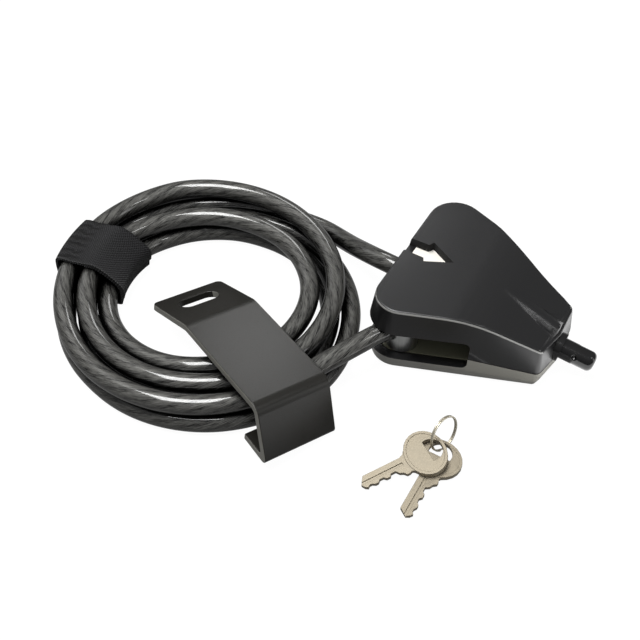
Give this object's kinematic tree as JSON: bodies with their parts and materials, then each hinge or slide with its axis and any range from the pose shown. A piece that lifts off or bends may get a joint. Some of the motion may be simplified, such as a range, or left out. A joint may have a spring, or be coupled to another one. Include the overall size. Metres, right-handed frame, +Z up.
{
  "type": "laptop cable lock",
  "caption": "Adjustable cable lock: a steel cable runs through a key-locked housing and coils in a strap, with a slotted wall bracket and keys on a split ring.",
  "frame": {"origin": "on the flat bottom face of the housing, under the cable passage at the housing's middle", "axes": "+X along the cable passage to the nose, +Y towards the key cylinder's side, +Z up from the flat bottom face"},
  "size_m": [0.215, 0.1415, 0.033],
  "materials": {
    "top_shell": "satin moulded plastic, black-grey",
    "bottom_shell": "satin moulded plastic, dark grey",
    "arrow_plate": "satin",
    "floor_plate": "satin olive-grey plated steel",
    "shell_screws": "plated",
    "nose_collar": "polished",
    "swivel_barrel": "satin bright",
    "swivel_ferrule": "satin",
    "lock_body": "cast, satin",
    "locking_finger": "machined",
    "finger_spring": "drawn wire",
    "cylinder_housing": "nickel plated",
    "chamber_cover": "nickel plated",
    "key_plug": "machined",
    "key_pins": "machined",
    "driver_pins": "machined",
    "pin_springs": "drawn wire",
    "plug_clip": "stamped",
    "plug_tail": "machined",
    "cable_inner": "smoky clear vinyl over braided steel",
    "cable_end_tip": "moulded, satin",
    "cable_far_lead": "smoky clear vinyl over braided steel",
    "cable_coil": "smoky clear vinyl over braided steel",
    "cable_near_lead": "smoky clear vinyl over braided steel",
    "cinch_strap": "woven nylon",
    "bracket": "satin black powder coat",
    "key_1": "nickel plated, worn at the edges",
    "key_2": "nickel plated, worn at the edges",
    "split_ring": "bright wire"
  },
  "bodies": {
    "root": {"top_shell": "top_shell", "bottom_shell": "bottom_shell", "arrow_plate": "arrow_plate", "floor_plate": "floor_plate", "shell_screws": "shell_screws", "nose_collar": "nose_collar", "lock_body": "lock_body", "finger_spring": "finger_spring", "cylinder_housing": "cylinder_housing", "chamber_cover": "chamber_cover", "driver_pins": "driver_pins", "pin_springs": "pin_springs", "cable_inner": "cable_inner", "cable_end_tip": "cable_end_tip", "cable_far_lead": "cable_far_lead", "cable_coil": "cable_coil", "cable_near_lead": "cable_near_lead", "cinch_strap": "cinch_strap"},
    "swivel": {"swivel_barrel": "swivel_barrel", "swivel_ferrule": "swivel_ferrule"},
    "plug": {"key_plug": "key_plug", "key_pins": "key_pins", "plug_clip": "plug_clip", "plug_tail": "plug_tail", "locking_finger": "locking_finger"},
    "bracket": {"bracket": "bracket"},
    "ring": {"split_ring": "split_ring"},
    "key_a": {"key_1": "key_1"},
    "key_b": {"key_2": "key_2"}
  },
  "joints": [
    {"name": "swivel_turn", "type": "hinge", "parent": "root", "child": "swivel", "pos_m": [-0.0215, -0.0245, 0.0165], "axis": [0, 0, 1], "range_deg": [-10, 10]},
    {"name": "plug_turn", "type": "hinge", "parent": "root", "child": "plug", "pos_m": [-0.012, 0.019, 0.0213], "axis": [-1, 0, 0], "range_deg": [0, 15]},
    {"name": "bracket_lift", "type": "slide", "parent": "root", "child": "bracket", "axis": [0, 0, 1], "range_m": [0, 0.06]},
    {"name": "ring_lift", "type": "slide", "parent": "root", "child": "ring", "axis": [0, 0, 1], "range_m": [0, 0.05]},
    {"name": "key_1_swing", "type": "hinge", "parent": "ring", "child": "key_a", "pos_m": [0.0113, -0.0629, 0.0053], "axis": [0, 0, 1], "range_deg": [-8, 6]},
    {"name": "key_2_swing", "type": "hinge", "parent": "ring", "child": "key_b", "pos_m": [0.01245, -0.06125, 0.0025], "axis": [0, 0, 1], "range_deg": [-6, 8]}
  ]
}
